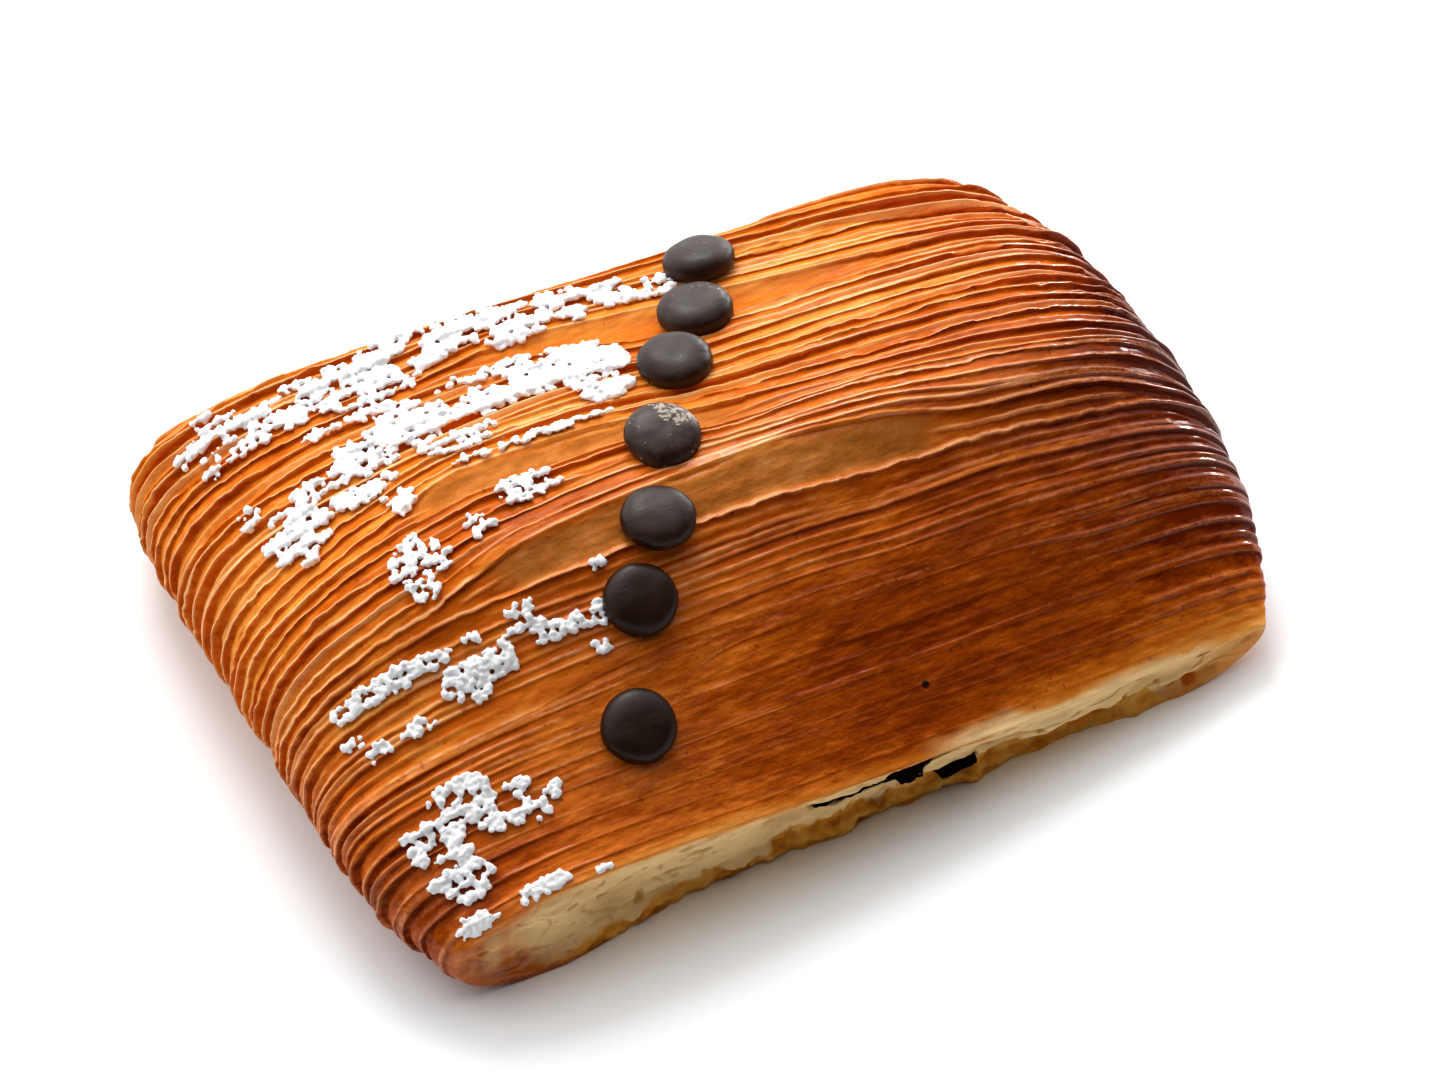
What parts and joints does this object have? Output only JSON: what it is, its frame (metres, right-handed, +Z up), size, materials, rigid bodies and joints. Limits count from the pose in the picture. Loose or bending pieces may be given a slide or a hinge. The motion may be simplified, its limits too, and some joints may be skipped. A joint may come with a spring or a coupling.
{
  "type": "pain suisse",
  "caption": "Folded, baked slab of layered dough with open cut sides, chocolate running through it, chocolate buttons on top and lumps of sugar.",
  "frame": {"origin": "on the surface it rests on, under the middle of its bounding box", "axes": "+X along the long side, to the right as seen from the cut side that shows the chocolate; -Y out of that cut side; +Z up"},
  "size_m": [0.1383, 0.0991, 0.0405],
  "materials": {
    "crust": "baked dough, golden to dark brown, satin on the crests",
    "sugar": "dry white sugar, matte",
    "filling": "melted and set dark chocolate, satin",
    "chocolate": "dark chocolate, soft sheen with pale bloom"
  },
  "bodies": {
    "root": {"pastry": "crust", "chocolate_filling": "filling", "chocolate_button_1": "chocolate", "chocolate_button_2": "chocolate", "chocolate_button_3": "chocolate", "chocolate_button_4": "chocolate", "chocolate_button_5": "chocolate", "chocolate_button_6": "chocolate", "chocolate_button_7": "chocolate"}
  },
  "joints": []
}
